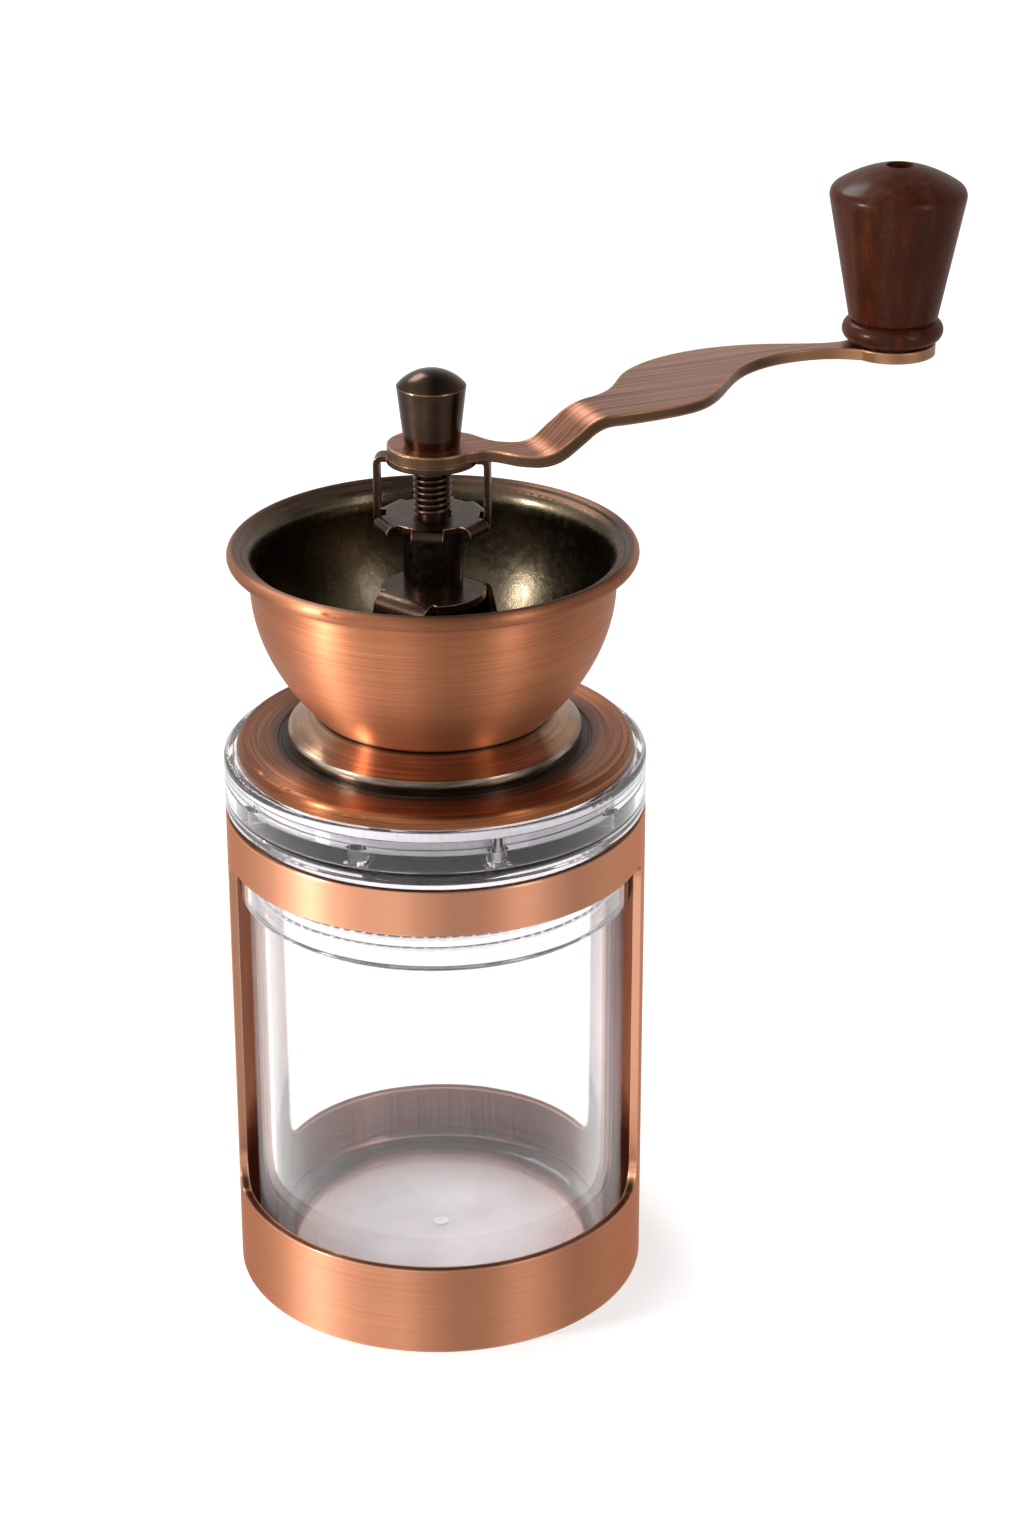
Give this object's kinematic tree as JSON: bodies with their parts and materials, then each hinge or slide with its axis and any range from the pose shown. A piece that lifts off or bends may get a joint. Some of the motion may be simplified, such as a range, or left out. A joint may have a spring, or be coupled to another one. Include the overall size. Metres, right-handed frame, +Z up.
{
  "type": "coffee grinder mill",
  "caption": "Hand coffee mill: windowed copper sleeve round a clear jar, clear screw collar, copper hopper, and an S-shaped crank with a wooden knob that turns a conical burr.",
  "frame": {"origin": "centre of the foot of the sleeve, on the surface it stands on", "axes": "+Z up along the spindle, -Y towards the front window, the crank at rest towards +X and a little towards +Y"},
  "size_m": [0.1588, 0.0997, 0.2383],
  "materials": {
    "sleeve_copper": "horizontal satin-brushed copper plate",
    "hopper_copper": "antiqued copper with spun brushing",
    "mechanism_bronze": "dark antique bronze plate, worn bright at the edges",
    "crank_copper": "copper plate brushed along the arm",
    "clear_acrylic": "clear polished acrylic",
    "carrier_dark": "dark satin casting",
    "burr_steel": "hardened steel",
    "fastener_steel": "plated steel",
    "spindle_steel": "bronze-toned steel",
    "spring_steel": "dark spring wire",
    "knob_wood": "dark reddish varnished turned wood"
  },
  "bodies": {
    "base": {"jar_sleeve": "sleeve_copper"},
    "jar": {"receiver_jar": "clear_acrylic"},
    "head": {"clear_collar": "clear_acrylic", "cover_plate": "hopper_copper", "hopper_foot": "hopper_copper", "hopper_bowl": "hopper_copper", "burr_carrier": "carrier_dark", "carrier_screws": "fastener_steel", "ring_burr": "burr_steel", "ring_burr_screws": "fastener_steel", "bridge_bracket": "mechanism_bronze", "bridge_screws": "mechanism_bronze", "spindle_bush": "mechanism_bronze"},
    "adjuster": {"adjusting_nut": "mechanism_bronze", "lock_spring": "spring_steel"},
    "drive": {"spindle": "spindle_steel", "cone_burr": "burr_steel", "burr_washer": "fastener_steel", "burr_nut": "fastener_steel", "spring_seat": "mechanism_bronze", "lock_clip": "mechanism_bronze", "crank_arm": "crank_copper", "crown_nut": "mechanism_bronze", "knob_pin": "fastener_steel", "knob_washer": "fastener_steel"},
    "knob": {"crank_knob": "knob_wood"}
  },
  "joints": [
    {"name": "jar_lift", "type": "slide", "parent": "base", "child": "jar", "axis": [0, 0, 1], "range_m": [0, 0.115]},
    {"name": "head_lift", "type": "slide", "parent": "jar", "child": "head", "axis": [0, 0, 1], "range_m": [0, 0.06]},
    {"name": "crank_turn", "type": "hinge", "parent": "head", "child": "adjuster", "pos_m": [0, 0, 0.175], "axis": [0, 0, 1], "continuous": true},
    {"name": "grind_adjust", "type": "slide", "parent": "adjuster", "child": "drive", "axis": [0, 0, 1], "range_m": [0, 0.0012], "deforming": ["lock_spring"]},
    {"name": "knob_spin", "type": "hinge", "parent": "drive", "child": "knob", "pos_m": [0.09921, 0.04008, 0.205], "axis": [0, 0, 1], "continuous": true}
  ]
}
